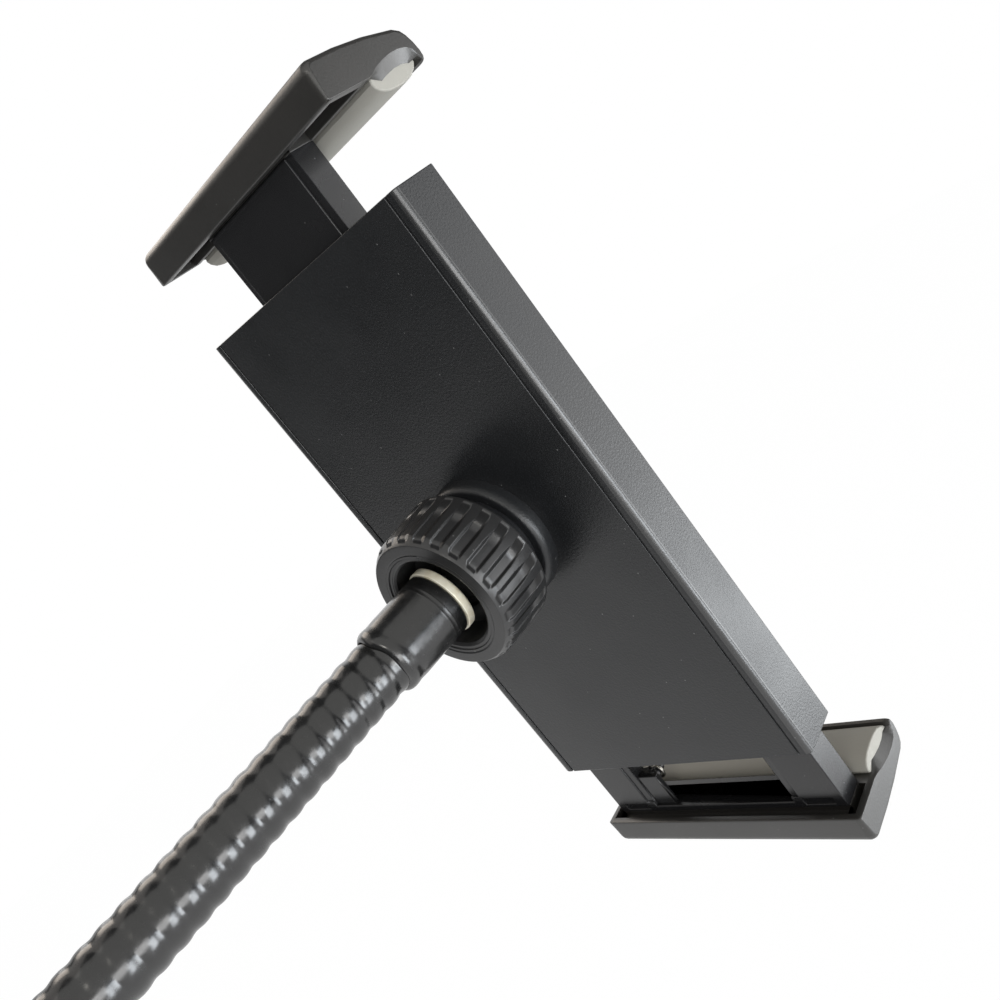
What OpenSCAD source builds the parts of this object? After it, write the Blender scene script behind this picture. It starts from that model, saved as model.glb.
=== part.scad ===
// Gooseneck mount with a spring-loaded clamp for a flat device.
// Millimetres. +Z is up along the clamp, +Y runs from the base along the neck to the clamp,
// and the origin is the shoulder of the base stud.

/* [Housing] */
// Width of the housing along X
plate_w = 70.3; // [68:0.1:90]
// Length of the housing along Z
plate_l = 130; // [120:1:170]
// Depth of the side walls, from the back face
wall_d = 11.6; // [11:0.1:16]
// Thickness of the back plate and of the side walls
wall_t = 2; // [1.6:0.1:2.2]
// Distance of the fine grooves from the side faces
groove_in = 2.7; // [2.2:0.1:5]

/* [Claws] */
// Gap between the housing and the upper claw as shown
upper_out = 16.2; // [1:0.1:35]
// Gap between the housing and the lower claw as shown
lower_out = 18.4; // [1:0.1:35]
// Height of each claw's back bar
claw_h = 7.3; // [6.5:0.1:10]
// Reach of each claw in front of the back face
claw_reach = 26.9; // [26.5:0.1:29]
// How far each pad stands out of its claw
pad_out = 2.9; // [2:0.1:4]

/* [Sliders] */
// Width of the upper slider
upper_slider_w = 34; // [30:0.5:35]
// Width of each rail of the lower slider
rail_w = 12.2; // [10:0.1:12.5]
// Depth of both sliders
slider_t = 6.8; // [6.4:0.1:7]
// Play between moving flat faces
play = 0.2; // [0.1:0.05:0.3]
// Length of the upper slider inside the claw
upper_in = 70; // [60:1:72]
// Length of the lower slider inside the claw
lower_in = 64; // [56:1:66]

/* [Ball joint] */
// Distance of the joint above the middle of the housing
nut_off = 1.2; // [-5:0.1:5]
// Radius of the ball
ball_r = 6; // [5.6:0.1:6.2]
// Depth of the ball's centre behind the back face
ball_depth = 9.6; // [9.4:0.1:9.8]
// Outer radius of the boss at the housing
boss_r = 14.6; // [14:0.1:15.5]
// Radius of the boss's threaded part
thread_r = 12.1; // [11.8:0.1:12.4]
// Outer radius of the lock nut at its back rim
nut_r = 16.1; // [15.6:0.1:18]
// Face of the lock nut, behind the back face
nut_face = 21; // [20.6:0.1:21.6]
// Grip slots round the lock nut
nut_slots = 24; // [18:1:28]
// Running clearance of round fits
fit = 0.05; // [0.02:0.01:0.1]

/* [Neck] */
// Tilt of the neck's upper part against the housing's normal
neck_tilt = 11.06; // [0:0.01:12]
// Direction in which the neck leans, about Y
neck_side = 171.43; // [160:0.01:190]
// Crest radius of the corrugated hose
hose_r = 6.1; // [5.8:0.05:6.1]
// Depth of the corrugation
hose_rib = 0.4; // [0.3:0.05:0.8]
// Pitch of the corrugation
hose_pitch = 4.2; // [3.6:0.1:4.8]
// Corrugations in each free hose length
hose_ribs = 12; // [9:1:16]
// Outer radius of the shrunk-on sleeves
sleeve_r = 7.15; // [6.95:0.05:7.3]
// Outer radius of the plated collars
collar_r = 7.45; // [7.35:0.05:7.7]
// Nominal radius of the base stud
stud_r = 5; // [4:0.5:6]
// Length of the base stud
stud_l = 20; // [12:1:30]

/* [Hidden] */
$fn = 64;
e = 0.01;                                 // overlap of joined solids
over = 30;                                // over-length of cutting cylinders
// housing
hw = plate_w / 2;
hl = plate_l / 2;
in_w = hw - wall_t;                       // inner half width between the walls
slide_gap = 1.4;                          // height of the low ribs under the sliders
y_sl = wall_t + slide_gap;                // back face of both sliders
y_cover = y_sl + slider_t + play;         // inner face of the front cover
back_round = 1.2;                         // rounding of the long back edges
lip = 0.4;                                // chamfer of the walls' front edges
groove_d = 0.3;
rib_t = 1.6;                              // tall ribs beside the upper slider
low_rib_t = 2;                            // low ribs under the sliders
low_rib_x = 9;
rib_end = 2;                              // the ribs end this far inside the housing
// cover, front pad and screws
cover_t = 1.2;
cover_gap = 0.15;
front_t = 1;
front_in = 1;                             // the front pad's margin inside the cover
front_round = 3;
post_r = 2.6;                             // screw posts
screw_r = 1.1;
screw_head_r = 2.3;
screw_sink = 0.5;                         // height of the screw heads' seats above the inner face
screw_x = in_w - 7.15;
screw_at = [[-screw_x, hl - 14], [screw_x, hl - 14], [-screw_x, 6], [screw_x, 6], [0, 17 - hl]];
// sliders
guide_t = 1.25;                           // guide pads outside the lower slider
usw = upper_slider_w / 2;
lsw = in_w - guide_t - play;              // outer half width of the lower slider
win_w = lsw - rail_w;                     // inner half width of its window
web_t = 1.8;
ledge = 1.9;                              // low ledge along the sliders' edges
ledge_d = 0.45;
end_t = 3;                                // the sliders' end walls at the claws
bridge_h = 3;                             // lower slider's cross bar
bridge_t = 1.6;                           // its end wall; it is hollow towards the back
catch_w = 7;                              // catch recess at each rail's end
z_uc = hl + upper_out;                    // inner faces of the claws
z_lc = hl + lower_out;
tongue_h = 3.4;
tongue_y = [y_sl + 0.4, y_sl + slider_t - 0.9];
tongue_gap = 0.15;
claw_end = 1.6;                           // thickness of the claws' back and end walls
groove_h = 1.5;                           // hollow behind the tongue
recess_h = 5.2;                           // hollows beside the tongue
// springs: mean coil radius, wire radius, pegs with a shoulder, two peg places each
coil_r = 1.9;
wire_r = 0.4;
peg_r = 1.1;
shoulder_r = 1.7;
loop_r = peg_r + wire_r + 0.25;
y_spring = y_sl + 4.35;
y_shoulder = wire_r + 0.3;                // the shoulders' distance from the springs' middle
us_x = 9;
us_z = [hl - 34, z_uc - 7.5];
ls_x = -(win_w - 3.3);
ls_z = [-(hl - 32), -(z_lc - 8.9)];
// ball joint, along the boss's axis away from the back face
boss_l = 3.4;                             // wide foot of the boss; the thread runs on to the nut
seat_or = 9.1;
seat_play = 0.1;
seat_floor = wall_t - 1.2;                // thickness of the plate left under the seat
seat_end = ball_depth + 4;
ring_t = 1;
ring_bore = 5.6;
mouth_r = 9.6;
nut_back = boss_l + 3.9;
slot_w = 2.3;
slot_d = 1.1;
// neck path below the ball: places of its pieces, tilt and length of each straight length
stem_r = 2.8;
collar_at = 7.9;
collar_t = 1.9;
collar_c = 0.3;
shank_r = 3.4;
ferrule_at = collar_at + collar_t + fit;
ferrule_or = hose_r + 0.52;
press = 0.02;                             // radial gap of the crimped and shrunk pieces
hose_top = 13.2;
cup_l = 9;
sleeve_l = 16.7;
first_ribs = 11;
first_l = hose_top + first_ribs * hose_pitch;
free_l = hose_ribs * hose_pitch;
ang = [neck_tilt, neck_tilt, neck_tilt * 2 / 3, neck_tilt / 3, 0];
len_of = [first_l, free_l, free_l, free_l, free_l];
seat_r = hose_r + 1.4;                    // spherical seats between the hose lengths
bore_r = 3.2;
base_gap = hose_top - collar_at - collar_t;
function dirn(a) = [sin(a), 0, -cos(a)];
function knot(k) = k == 0 ? [0, 0, 0] : knot(k - 1) + len_of[k - 1] * dirn(ang[k - 1]);
shoulder = knot(5) + (base_gap + collar_t) * dirn(0);
// the ball's centre, found from the shoulder back up the path
ball = [-cos(neck_side) * shoulder[0], -shoulder[2], sin(neck_side) * shoulder[0]];

module in_head() translate([ball[0], ball[1] + ball_depth, ball[2] - nut_off]) children();
// boss frame inside the head frame: local +z leaves the housing's back face
module boss_axis() translate([0, 0, nut_off]) rotate([90, 0, 0]) children();
module on_boss() in_head() boss_axis() children();
// neck frame: the neck leaves the ball along local -z and leans to local +x
module in_neck() translate(ball) rotate([0, neck_side, 0]) rotate([-90, 0, 0]) children();
module at_knot(k) in_neck() translate(knot(k)) rotate([0, -ang[min(k, 4)], 0]) children();
// the base's pieces are the top's turned round, from the shoulder up
module base_end() in_neck() translate(shoulder) mirror([0, 0, 1]) translate([0, 0, collar_at]) children();
module bar(x0, x1, y0, y1, z0, z1) translate([x0, y0, z0]) cube([x1 - x0, y1 - y0, z1 - z0]);
module yrod(x, y, z, r, h) translate([x, y, z]) rotate([-90, 0, 0]) cylinder(r = r, h = h, $fn = 32);
module turned(pts) rotate_extrude($fn = 96) polygon(pts);

// Channel-shaped back housing: plate, side walls, guide ribs, screw posts and the threaded boss.
module channel() translate([0, 0, -hl]) linear_extrude(plate_l) polygon([
  [-hw, back_round], [-hw + 0.13 * back_round, 0.5 * back_round],
  [-hw + 0.5 * back_round, 0.13 * back_round], [-hw + back_round, 0],
  [hw - back_round, 0], [hw - 0.5 * back_round, 0.13 * back_round],
  [hw - 0.13 * back_round, 0.5 * back_round], [hw, back_round],
  [hw, wall_d - lip], [hw - lip, wall_d], [in_w, wall_d], [in_w, wall_t],
  [-in_w, wall_t], [-in_w, wall_d], [-hw + lip, wall_d], [-hw, wall_d - lip]]);
module rib(x, t, y1, z0, z1) bar(x - t / 2, x + t / 2, wall_t - e, y1, z0, z1);
module guides() for (s = [-1, 1]) {
  rib(s * (usw + play + rib_t / 2), rib_t, y_cover, -10, hl - rib_end);
  rib(s * (in_w - guide_t / 2), guide_t + 2 * e, y_cover, -hl + rib_end, -4);
  rib(s * low_rib_x, low_rib_t, y_sl - fit, 8, hl - rib_end);
  rib(s * (lsw - rail_w / 2), low_rib_t, y_sl - fit, -hl + rib_end, -8);
}
module boss() boss_axis() translate([0, 0, -0.5]) turned([
  [0, 0], [boss_r, 0], [boss_r - 0.1, boss_l - 1.3], [boss_r - 0.35, boss_l - 0.4],
  [boss_r - 0.8, boss_l + 0.2], [boss_r - 1.5, boss_l + 0.5], [thread_r, boss_l + 0.5],
  [thread_r, seat_end - 0.4],
  [thread_r - 0.6, seat_end + 0.2], [0, seat_end + 0.2]]);
module back_housing() color([0.10, 0.10, 0.11]) in_head() difference() {
  union() {
    channel();
    guides();
    for (p = screw_at) yrod(p[0], wall_t - e, p[1], post_r, y_cover - wall_t);
    boss();
  }
  for (s = [-1, 1]) translate([s * (hw - groove_in), 0, 0])
    bar(-0.25, 0.25, -1, groove_d, -hl - 1, hl + 1);
  for (p = screw_at) yrod(p[0], wall_t + 1, p[1], screw_r, over);
  boss_axis() translate([0, 0, -seat_floor]) cylinder(r = seat_or + seat_play, h = over);
}

// Flat cover that closes the channel on the device side; its two pegs hold the springs.
module front_cover() color([0.12, 0.12, 0.13]) in_head() {
  difference() {
    bar(-in_w + cover_gap, in_w - cover_gap, y_cover, y_cover + cover_t, -hl, hl);
    for (p = screw_at) {
      yrod(p[0], y_cover - 1, p[1], screw_r + 0.25, over);
      yrod(p[0], y_cover + screw_sink, p[1], screw_head_r + 0.2, over);
    }
  }
  for (p = [[us_x, us_z[0]], [ls_x, ls_z[0]]]) {
    yrod(p[0], y_spring - 1, p[1], peg_r, y_cover - y_spring + 1 + e);
    yrod(p[0], y_spring + y_shoulder, p[1], shoulder_r, y_cover - y_spring - y_shoulder + e);
  }
}

// Soft pad glued on the cover, open over the screws.
module front_pad() color([0.20, 0.20, 0.20]) in_head() difference() {
  y0 = y_cover + cover_t;
  x1 = in_w - front_in;
  z1 = hl - 3;
  union() {
    bar(-x1, x1, y0, y0 + front_t, -z1 + front_round, z1 - front_round);
    bar(-x1 + front_round - 1, x1 - front_round + 1, y0, y0 + front_t, -z1, z1);
    for (x = [-1, 1], z = [-1, 1])
      yrod(x * (x1 - front_round), y0, z * (z1 - front_round), front_round, front_t);
  }
  for (p = screw_at) yrod(p[0], y_cover, p[1], screw_head_r + 0.6, over);
}

// Self-tapping screws of the cover, with a cross recess.
module cover_screws() color([0.55, 0.55, 0.57]) in_head() for (p = screw_at) difference() {
  union() {
    yrod(p[0], y_cover + screw_sink, p[1], screw_head_r, 1.3);
    yrod(p[0], y_cover - 5.5, p[1], screw_r, 5.5 + screw_sink + e);
  }
  for (q = [0, 90]) translate([p[0], y_cover + 2, p[1]]) rotate([0, q, 0]) cube([2.8, 1.4, 0.5], center = true);
}

// Upper slider: a channel that runs in the housing and carries the upper claw.
module upper_slider() color([0.11, 0.11, 0.12]) in_head() {
  z0 = z_uc - upper_in;
  difference() {
    bar(-usw, usw, y_sl, y_sl + slider_t, z0, z_uc);
    bar(-usw + web_t, usw - web_t, y_sl + web_t, y_sl + slider_t + 1, z0 - 1, z_uc - end_t);
    for (s = [-1, 1]) translate([s * usw, 0, 0])
      bar(-ledge, ledge, y_sl - 1, y_sl + ledge_d, z0 - 1, z_uc + 1);
  }
  bar(-usw, usw, tongue_y[0], tongue_y[1], z_uc - e, z_uc + tongue_h);
  yrod(us_x, y_sl + web_t - e, us_z[1], peg_r, slider_t - web_t - 0.4);
  yrod(us_x, y_sl + web_t - e, us_z[1], shoulder_r, y_spring - y_shoulder - y_sl - web_t);
}

// Lower slider: two rails and a cross bar round an open window.
module lower_slider() color([0.11, 0.11, 0.12]) in_head() {
  z1 = -z_lc + lower_in;
  lug_y = [y_sl + 0.9, y_sl + 2.4];
  for (s = [-1, 1]) translate([s * (lsw - rail_w / 2), 0, 0]) difference() {
    bar(-rail_w / 2, rail_w / 2, y_sl, y_sl + slider_t, -z_lc, z1);
    bar(-rail_w / 2 + web_t, rail_w / 2 - web_t, y_sl + web_t, y_sl + slider_t + 1, -z_lc + end_t, z1 + 1);
    translate([-s * rail_w / 2, 0, 0])
      bar(-ledge, ledge, y_sl - 1, y_sl + ledge_d, -z_lc + bridge_h, z1 + 1);
    bar(-catch_w / 2, catch_w / 2, y_sl - 1, y_sl + ledge_d, -z_lc + 0.7, -z_lc + 2.5);
  }
  difference() {
    bar(-win_w - e, win_w + e, y_sl, y_sl + slider_t, -z_lc, -z_lc + bridge_h);
    bar(-win_w + e, win_w - e, y_sl - 1, y_sl + slider_t - web_t, -z_lc + bridge_t, -z_lc + bridge_h + 1);
  }
  bar(-lsw, lsw, tongue_y[0], tongue_y[1], -z_lc - tongue_h, -z_lc + e);
  // lug with the spring's peg, in the window's corner
  bar(-win_w - e, ls_x + 2.4, lug_y[0], lug_y[1], -z_lc + bridge_t - e, ls_z[1] + shoulder_r);
  yrod(ls_x, lug_y[1] - 0.4, ls_z[1], peg_r, slider_t - 2.4);
  yrod(ls_x, lug_y[1] - 0.4, ls_z[1], shoulder_r, y_spring - y_shoulder - lug_y[1] + 0.4);
}

// Claw profile, inner face at height 0: [depth, height].
claw_pts = [[0, 0.4], [0.4, 0], [tongue_y[1] + 1.3, 0], [12.4, 0.35], [14.2, 1.0], [16.4, 1.5], [19, 1.9],
  [21.4, 1.95], [23.4, 1.6], [24.6, 0.9], [25.0, -0.2], [25.4, -1.2], [26.0, -1.5], [26.6, -0.9],
  [claw_reach, 0.4], [claw_reach - 0.2, 2.2], [claw_reach - 0.8, 3.9], [claw_reach - 1.7, 5.1],
  [claw_reach - 3.2, 5.8], [16, claw_h - 0.45], [9, claw_h], [1.9, claw_h], [1.0, claw_h - 0.25],
  [0.35, claw_h - 0.8], [0, claw_h - 1.7]];
// Pad profile: a thick D that lies in the claw's hollow.
pad_pts = [[12.4, 0.35], [12.1, -0.5], [12.5, -pad_out + 1.5], [13.6, -pad_out + 0.6], [15.4, -pad_out + 0.12],
  [17.8, -pad_out], [20.4, -pad_out + 0.15], [22.4, -pad_out + 0.6], [23.9, -pad_out + 1.4], [24.8, -0.7],
  [25.0, -0.2], [24.6, 0.9], [23.4, 1.6], [21.4, 1.95], [19, 1.9], [16.4, 1.5], [14.2, 1.0]];
module across(w, pts) rotate([90, 0, 90]) translate([0, 0, -w / 2]) linear_extrude(w) polygon(pts);
module claw(s, hx) difference() {
  end_x = hw - claw_end;
  across(plate_w, [for (p = claw_pts) [p[0], s * p[1]]]);
  // pocket for the slider's tongue, a shallow groove behind it and deep recesses inside the end walls
  mirror([0, 0, s > 0 ? 0 : 1]) {
    bar(-hx - tongue_gap, hx + tongue_gap, tongue_y[0] - tongue_gap, tongue_y[1] + tongue_gap,
      -1, tongue_h + tongue_gap + fit);
    bar(-hx - tongue_gap, hx + tongue_gap, claw_end, tongue_y[0], -1, groove_h);
    for (k = [-1, 1]) translate([k * (hx + end_x) / 2, 0, 0])
      bar(-(end_x - hx) / 2 - e, (end_x - hx) / 2 + e, claw_end, tongue_y[1] + tongue_gap - e, -1, recess_h);
  }
}
module upper_claw() color([0.09, 0.09, 0.10]) in_head() translate([0, 0, z_uc]) claw(1, usw);
module lower_claw() color([0.09, 0.09, 0.10]) in_head() translate([0, 0, -z_lc]) claw(-1, lsw);
module claw_pad(s) across(plate_w - claw_end, [for (p = pad_pts) [p[0], s * p[1]]]);
module upper_pad() color([0.70, 0.69, 0.65]) in_head() translate([0, 0, z_uc]) claw_pad(1);
module lower_pad() color([0.70, 0.69, 0.65]) in_head() translate([0, 0, -z_lc]) claw_pad(-1);

// Close-wound tension spring between two pegs, with an eye round each peg.
coil_steps = [[0.1, 0], [0.35, 1], [0.65, 1], [0.9, 0]];
module spring(x, za, zb) translate([x, y_spring, 0]) {
  z0 = min(za, zb) + loop_r + wire_r;
  z1 = max(za, zb) - loop_r - wire_r;
  n = round((z1 - z0) / (2.6 * wire_r));
  p = (z1 - z0) / n;
  neck_l = 2.4 * wire_r;
  coils = [for (i = [0:n - 1], t = coil_steps) [coil_r + t[1] * wire_r, z0 + (i + t[0]) * p]];
  rotate_extrude($fn = 32)
    polygon(concat(coils, [[coil_r - wire_r, z1 - 0.1 * p], [coil_r - wire_r, z0 + 0.1 * p]]));
  // eye, its neck and the last coil's disc at each end
  for (q = [[za, za < zb ? 1 : -1], [zb, za < zb ? -1 : 1]]) translate([0, 0, q[0]]) {
    rotate([90, 0, 0]) rotate_extrude($fn = 32) translate([loop_r, 0]) circle(r = wire_r, $fn = 16);
    translate([0, 0, q[1] > 0 ? loop_r : -loop_r - neck_l]) cylinder(r = wire_r, h = neck_l, $fn = 16);
    translate([0, 0, q[1] * (loop_r + 1.9 * wire_r)])
      cylinder(r = coil_r, h = wire_r, center = true, $fn = 32);
  }
}
module upper_spring() color([0.62, 0.60, 0.56]) in_head() spring(us_x, us_z[0], us_z[1]);
module lower_spring() color([0.62, 0.60, 0.56]) in_head() spring(ls_x, ls_z[0], ls_z[1]);

// Lock nut: slotted grip with closed slot ends at the back, a ringed face and a conical mouth.
module lock_nut() color([0.08, 0.08, 0.09]) on_boss() difference() {
  ring = [nut_r - 2.9, nut_r - 4.1, nut_r - 4.6];
  turned([[thread_r + fit, nut_back], [nut_r - 0.5, nut_back], [nut_r, nut_back + 0.5],
    [nut_r - 0.5, nut_face - 2.1], [nut_r - 0.9, nut_face - 1.2], [nut_r - 1.35, nut_face - 0.4],
    [nut_r - 1.8, nut_face], [ring[0], nut_face], [ring[0] - 0.2, nut_face - 0.25],
    [ring[1] + 0.2, nut_face - 0.25], [ring[1], nut_face], [ring[2], nut_face],
    [ring[2] - 0.2, nut_face - 0.4], [mouth_r + 0.9, nut_face - 0.4], [mouth_r + 0.5, nut_face - 0.9],
    [mouth_r, seat_end + ring_t], [thread_r + fit, seat_end + ring_t]]);
  for (i = [0:nut_slots - 1]) rotate(i * 360 / nut_slots)
    bar(nut_r - slot_d, nut_r + 1, -slot_w / 2, slot_w / 2, nut_back + 1.9, nut_face - 0.8);
}

// Flat ring between the nut and the seat.
module pressure_ring() color([0.10, 0.10, 0.10]) on_boss() difference() {
  translate([0, 0, seat_end]) cylinder(r = thread_r - 0.2, h = ring_t);
  translate([0, 0, seat_end - 1]) cylinder(r = ring_bore, h = ring_t + 2);
}

// Plastic seat round the ball; it turns in the boss.
module ball_seat() color([0.13, 0.13, 0.13]) on_boss() difference() {
  translate([0, 0, -seat_floor + 0.2]) cylinder(r = seat_or, h = seat_end + seat_floor - 0.2);
  translate([0, 0, ball_depth]) sphere(r = ball_r + fit);
}

// Ball with its stem, plated collar and shank.
module ball_stud() color([0.78, 0.72, 0.52]) at_knot(0) {
  sphere(r = ball_r);
  translate([0, 0, -collar_at - e]) cylinder(r = stem_r, h = collar_at);
  translate([0, 0, -collar_at - collar_c]) cylinder(r1 = collar_r, r2 = collar_r - collar_c, h = collar_c);
  translate([0, 0, -collar_at - collar_t]) cylinder(r = collar_r, h = collar_t - collar_c + e);
  translate([0, 0, -hose_top + 0.3]) cylinder(r = shank_r, h = hose_top - collar_at - 0.3);
}

// Ferrule: a cup crimped on the hose, bored for the shank.
module cup() translate([0, 0, -ferrule_at]) difference() {
  cup_end = hose_top - ferrule_at + cup_l;
  turned([[0, 0], [ferrule_or - 0.3, 0], [ferrule_or, -0.3], [ferrule_or, -cup_end], [0, -cup_end]]);
  translate([0, 0, -cup_end - 1]) cylinder(r = hose_r + press, h = cup_l + 1);
  translate([0, 0, -over]) cylinder(r = shank_r + fit, h = 2 * over);
}
module top_ferrule() color([0.70, 0.66, 0.52]) at_knot(0) cup();
module base_ferrule() color([0.70, 0.66, 0.52]) base_end() cup();

// Heat-shrunk sleeve over ferrule and hose, with a faint ring and a stepped end.
module shrink() difference() {
  translate([0, 0, -ferrule_at]) turned([[ferrule_or, 0], [sleeve_r - 0.15, 0], [sleeve_r, -0.3],
    [sleeve_r, -4.6], [sleeve_r + 0.12, -4.9], [sleeve_r + 0.12, -5.4], [sleeve_r, -5.7],
    [sleeve_r, -sleeve_l + 4.6], [sleeve_r - 0.12, -sleeve_l + 2], [sleeve_r - 0.15, -sleeve_l + 0.5],
    [sleeve_r - 0.5, -sleeve_l], [hose_r - 0.2, -sleeve_l]]);
  translate([0, 0, -hose_top - cup_l]) cylinder(r = ferrule_or + press, h = over);
  translate([0, 0, -sleeve_l - over]) cylinder(r = hose_r + press, h = sleeve_l + over);
}
module top_sleeve() color([0.05, 0.05, 0.05]) at_knot(0) shrink();
module base_sleeve() color([0.05, 0.05, 0.05]) base_end() shrink();

// One length of corrugated hose from path place s0 below its knot, spherical at its joints.
rib_steps = [[0, 0], [0.06, 0], [0.26, 1], [0.74, 1], [0.94, 0]];
module corrugated(s0, n) {
  root_r = hose_r - hose_rib;
  s1 = s0 + n * hose_pitch;
  crests = [for (i = [0:n - 1], t = rib_steps) [root_r + t[1] * hose_rib, -(s0 + (i + t[0]) * hose_pitch)]];
  turned(concat([[0, -s0]], crests, [[root_r, -s1], [0, -s1]]));
}
module hose(s0, n, l, dish, cap) difference() {
  intersection() {
    corrugated(s0, cap ? n + 2 : n);
    union() {
      translate([0, 0, -l]) cylinder(r = seat_r + 1, h = l + 1);
      if (cap) translate([0, 0, -l]) sphere(r = seat_r, $fn = 96);
    }
  }
  if (dish) sphere(r = seat_r + fit, $fn = 96);
  translate([0, 0, -l - over]) cylinder(r = bore_r, h = l + 2 * over);
}
module hose_1() color([0.05, 0.05, 0.055]) at_knot(0) hose(hose_top, first_ribs, first_l, false, true);
module hose_2() color([0.05, 0.05, 0.055]) at_knot(1) hose(0, hose_ribs, free_l, true, true);
module hose_3() color([0.05, 0.05, 0.055]) at_knot(2) hose(0, hose_ribs, free_l, true, true);
module hose_4() color([0.05, 0.05, 0.055]) at_knot(3) hose(0, hose_ribs, free_l, true, true);
module hose_5() color([0.05, 0.05, 0.055]) at_knot(4) hose(0, hose_ribs, free_l, true, false);

// Base stud: plated collar, shank in the ferrule and a plain stud for the holder's thread.
module base_stud() color([0.70, 0.68, 0.62]) in_neck() translate(shoulder) {
  cylinder(r = collar_r, h = collar_t);
  translate([0, 0, -stud_l + 0.8]) cylinder(r = stud_r, h = stud_l - 0.8 + e);
  translate([0, 0, -stud_l]) cylinder(r1 = stud_r - 0.8, r2 = stud_r, h = 0.8 + e);
  cylinder(r = shank_r, h = base_gap + collar_t - 0.3);
}

back_housing();
front_cover();
front_pad();
cover_screws();
upper_slider();
upper_claw();
upper_pad();
lower_slider();
lower_claw();
lower_pad();
upper_spring();
lower_spring();
lock_nut();
pressure_ring();
ball_seat();
ball_stud();
top_ferrule();
top_sleeve();
hose_1();
hose_2();
hose_3();
hose_4();
hose_5();
base_sleeve();
base_ferrule();
base_stud();
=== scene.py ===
from math import cos, pi, radians, sin

import bmesh
import bpy
import numpy as np
from mathutils import Matrix, Vector


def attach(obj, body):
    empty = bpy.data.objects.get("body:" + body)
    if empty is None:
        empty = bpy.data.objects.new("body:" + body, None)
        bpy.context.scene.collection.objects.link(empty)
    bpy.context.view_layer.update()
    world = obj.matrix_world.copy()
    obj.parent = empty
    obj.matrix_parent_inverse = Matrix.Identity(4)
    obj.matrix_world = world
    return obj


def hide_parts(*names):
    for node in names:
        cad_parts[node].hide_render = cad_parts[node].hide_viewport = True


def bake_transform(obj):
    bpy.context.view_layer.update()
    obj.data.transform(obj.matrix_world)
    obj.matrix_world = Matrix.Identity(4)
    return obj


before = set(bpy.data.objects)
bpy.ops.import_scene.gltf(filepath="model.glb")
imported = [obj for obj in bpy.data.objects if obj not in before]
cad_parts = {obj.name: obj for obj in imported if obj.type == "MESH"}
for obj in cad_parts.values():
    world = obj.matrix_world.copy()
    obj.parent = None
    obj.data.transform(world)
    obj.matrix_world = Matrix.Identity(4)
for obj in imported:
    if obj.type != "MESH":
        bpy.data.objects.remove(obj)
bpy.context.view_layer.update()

# View and studio: the camera stands behind the clamp, to its right and a little above, so the back
# of the housing, its right wall and the underside of the claws show. A white sweep lies below, and
# softboxes, windows and lamps stand round the object.
camera = bpy.data.objects.new("camera", bpy.data.cameras.new("camera"))
bpy.context.scene.collection.objects.link(camera)
camera_right = Vector((0.62761281, 0.49964385, -0.59704119))
camera_up = Vector((0.25565696, 0.59208736, 0.76424608))
camera_ahead = Vector((-0.73535139, 0.63228837, -0.24386419))
turn = Matrix((camera_right, camera_up, -camera_ahead)).transposed().to_4x4()
camera.matrix_world = Matrix.Translation((0.17766, 0.15416, 0.05772)) @ turn
camera.data.sensor_width = 36
camera.data.lens = 34.74
camera.data.clip_start = 0.001
bpy.context.scene.camera = camera
bpy.context.scene.view_settings.view_transform = "Standard"

floor_z = -0.55
bm = bmesh.new()
bmesh.ops.create_grid(bm, x_segments=1, y_segments=1, size=2.5)
bmesh.ops.translate(bm, verts=bm.verts, vec=(0, 0, floor_z))
floor_mesh = bpy.data.meshes.new("floor")
bm.to_mesh(floor_mesh)
bm.free()
floor = bpy.data.objects.new("floor", floor_mesh)
bpy.context.scene.collection.objects.link(floor)


def white_where_seen(tree, lit, output, share, mirrored):
    """Mix plain white into a surface for camera, mirror and clear rays; it keeps its shadow."""
    path = tree.nodes.new("ShaderNodeLightPath")
    glow = tree.nodes.new("ShaderNodeEmission" if output == "Surface" else "ShaderNodeBackground")
    glow.inputs["Color"].default_value = (1, 1, 1, 1)
    glow.inputs["Strength"].default_value = 1
    seen = tree.nodes.new("ShaderNodeMath")
    seen.operation = "MAXIMUM"
    tree.links.new(path.outputs["Is Camera Ray"], seen.inputs[0])
    tree.links.new(path.outputs["Is Transmission Ray"], seen.inputs[1])
    mirror = tree.nodes.new("ShaderNodeMath")
    mirror.operation = "MULTIPLY"
    mirror.inputs[1].default_value = mirrored
    tree.links.new(path.outputs["Is Glossy Ray"], mirror.inputs[0])
    both = tree.nodes.new("ShaderNodeMath")
    both.operation = "MAXIMUM"
    tree.links.new(seen.outputs[0], both.inputs[0])
    tree.links.new(mirror.outputs[0], both.inputs[1])
    part = tree.nodes.new("ShaderNodeMath")
    part.operation = "MULTIPLY"
    part.inputs[1].default_value = share
    tree.links.new(both.outputs[0], part.inputs[0])
    mix = tree.nodes.new("ShaderNodeMixShader")
    tree.links.new(part.outputs[0], mix.inputs[0])
    tree.links.new(lit, mix.inputs[1])
    tree.links.new(glow.outputs[0], mix.inputs[2])
    return mix.outputs[0]


sweep = bpy.data.materials.new("pale_floor")
sweep.use_nodes = True
tree = sweep.node_tree
tree.nodes["Principled BSDF"].inputs["Base Color"].default_value = (0.9, 0.9, 0.9, 1)
tree.nodes["Principled BSDF"].inputs["Roughness"].default_value = 0.9
mixed = white_where_seen(tree, tree.nodes["Principled BSDF"].outputs[0], "Surface", 0.995, 0.9)
tree.links.new(mixed, tree.nodes["Material Output"].inputs["Surface"])
floor.data.materials.append(sweep)

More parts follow.
